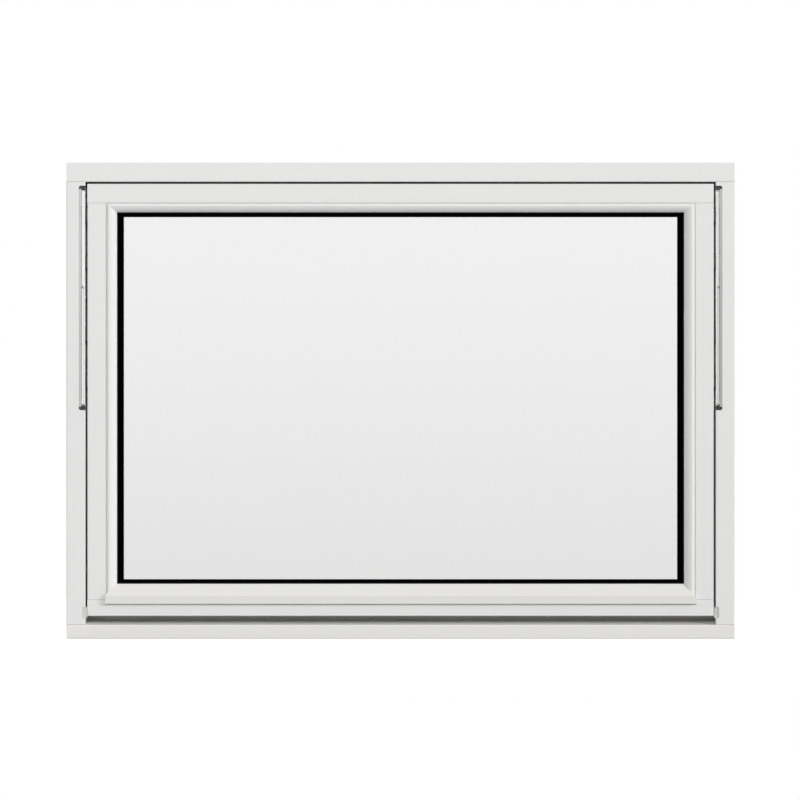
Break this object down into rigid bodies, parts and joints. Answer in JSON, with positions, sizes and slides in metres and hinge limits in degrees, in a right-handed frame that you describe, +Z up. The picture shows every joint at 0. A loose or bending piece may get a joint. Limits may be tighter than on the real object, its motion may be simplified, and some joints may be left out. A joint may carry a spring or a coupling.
{
  "type": "top-hung window",
  "caption": "White painted timber top-hung window with its frame, opening outward on sliding shoes and stays, with double glazing and a two-way bolt lock.",
  "frame": {"origin": "middle of the sill's underside, at half the frame's depth", "axes": "+X across the window seen from outside to the right, +Y from outside into the room, +Z up"},
  "size_m": [1.39, 0.1134, 0.99],
  "materials": {
    "painted_timber": "painted white, satin",
    "painted_sill": "painted white, satin",
    "painted_bead": "painted white, satin",
    "bare_wood": "bare beech",
    "clear_glass": "clear float glass",
    "black_seal": "matt",
    "black_spacer": "matt",
    "black_plastic": "moulded",
    "coated_steel": "white coated",
    "zinc_steel": "zinc plated",
    "grey_keep": "light grey coated",
    "satin_aluminium": "satin",
    "grey_acetal": "moulded"
  },
  "bodies": {
    "frame": {"frame_head": "painted_timber", "frame_sill": "painted_sill", "frame_jamb_left": "painted_timber", "frame_jamb_right": "painted_timber", "frame_corner_screws": "zinc_steel", "guide_rail_left": "zinc_steel", "guide_rail_right": "zinc_steel", "rail_screws": "zinc_steel", "fixed_pivot_left": "zinc_steel", "fixed_pivot_right": "zinc_steel", "rail_end_stops": "black_plastic", "bolt_keep_left": "grey_keep", "bolt_keep_right": "grey_keep", "keep_screws": "zinc_steel"},
    "stay_left": {"stay_arm_left": "coated_steel", "stay_rivet_left": "zinc_steel"},
    "stay_right": {"stay_arm_right": "coated_steel", "stay_rivet_right": "zinc_steel"},
    "sash": {"sash_top_rail": "painted_timber", "sash_bottom_rail": "painted_timber", "sash_stile_left": "painted_timber", "sash_stile_right": "painted_timber", "sash_dowels": "bare_wood", "glass_outer": "clear_glass", "glass_inner": "clear_glass", "spacer_frame": "black_spacer", "edge_sealant": "black_seal", "gasket_outer": "black_seal", "gasket_inner": "black_seal", "setting_blocks": "black_plastic", "location_blocks": "black_plastic", "bead_top": "painted_bead", "bead_left": "painted_bead", "bead_right": "painted_bead", "bead_bottom": "painted_bead", "bead_pins": "zinc_steel", "sash_arm_left": "coated_steel", "sash_arm_right": "coated_steel", "arm_packers": "black_plastic", "arm_screws": "zinc_steel", "sash_weatherseal": "black_seal", "gearbox_case": "zinc_steel", "gearbox_cover": "zinc_steel", "lock_faceplate": "zinc_steel", "faceplate_screws": "zinc_steel", "bolt_bushes": "black_plastic", "handle_rose": "satin_aluminium", "rose_screws": "zinc_steel"},
    "shoe_left": {"shoe_left": "grey_acetal"},
    "shoe_right": {"shoe_right": "grey_acetal"},
    "handle": {"handle_lever": "satin_aluminium", "handle_spindle": "zinc_steel", "drive_gear": "zinc_steel"},
    "lock_rod_left": {"lock_rod_left": "zinc_steel"},
    "lock_rod_right": {"lock_rod_right": "zinc_steel"}
  },
  "joints": [
    {"name": "sash_opening", "type": "hinge", "parent": "frame", "child": "stay_left", "pos_m": [-0.6617, -0.0395, 0.491], "axis": [1, 0, 0], "range_deg": [0, 75]},
    {"name": "sash_on_left_stay", "type": "hinge", "parent": "stay_left", "child": "sash", "pos_m": [-0.6581, -0.0395, 0.709], "axis": [1, 0, 0], "range_deg": [-150, 0]},
    {"name": "right_stay_swing", "type": "hinge", "parent": "frame", "child": "stay_right", "pos_m": [0.6617, -0.0395, 0.491], "axis": [1, 0, 0], "range_deg": [0, 75]},
    {"name": "left_shoe_turn", "type": "hinge", "parent": "sash", "child": "shoe_left", "pos_m": [-0.6581, -0.0395, 0.927], "axis": [1, 0, 0], "range_deg": [0, 75]},
    {"name": "right_shoe_turn", "type": "hinge", "parent": "sash", "child": "shoe_right", "pos_m": [0.6581, -0.0395, 0.927], "axis": [1, 0, 0], "range_deg": [0, 75]},
    {"name": "handle_turn", "type": "hinge", "parent": "sash", "child": "handle", "pos_m": [0, -0.021, 0.072], "axis": [0, 1, 0], "range_deg": [0, 90]},
    {"name": "left_bolt_throw", "type": "slide", "parent": "sash", "child": "lock_rod_left", "axis": [-1, 0, 0], "range_m": [0, 0.01414]},
    {"name": "right_bolt_throw", "type": "slide", "parent": "sash", "child": "lock_rod_right", "axis": [1, 0, 0], "range_m": [0, 0.0142]}
  ],
  "couplings": [
    {"joint": "sash_on_left_stay", "follows": "sash_opening", "ratio": -2},
    {"joint": "right_stay_swing", "follows": "sash_opening", "ratio": 1},
    {"joint": "left_shoe_turn", "follows": "sash_opening", "ratio": 1},
    {"joint": "right_shoe_turn", "follows": "sash_opening", "ratio": 1},
    {"joint": "handle_turn", "follows": "left_bolt_throw", "rad_per_m": 111.11},
    {"joint": "right_bolt_throw", "follows": "left_bolt_throw", "ratio": 1}
  ]
}
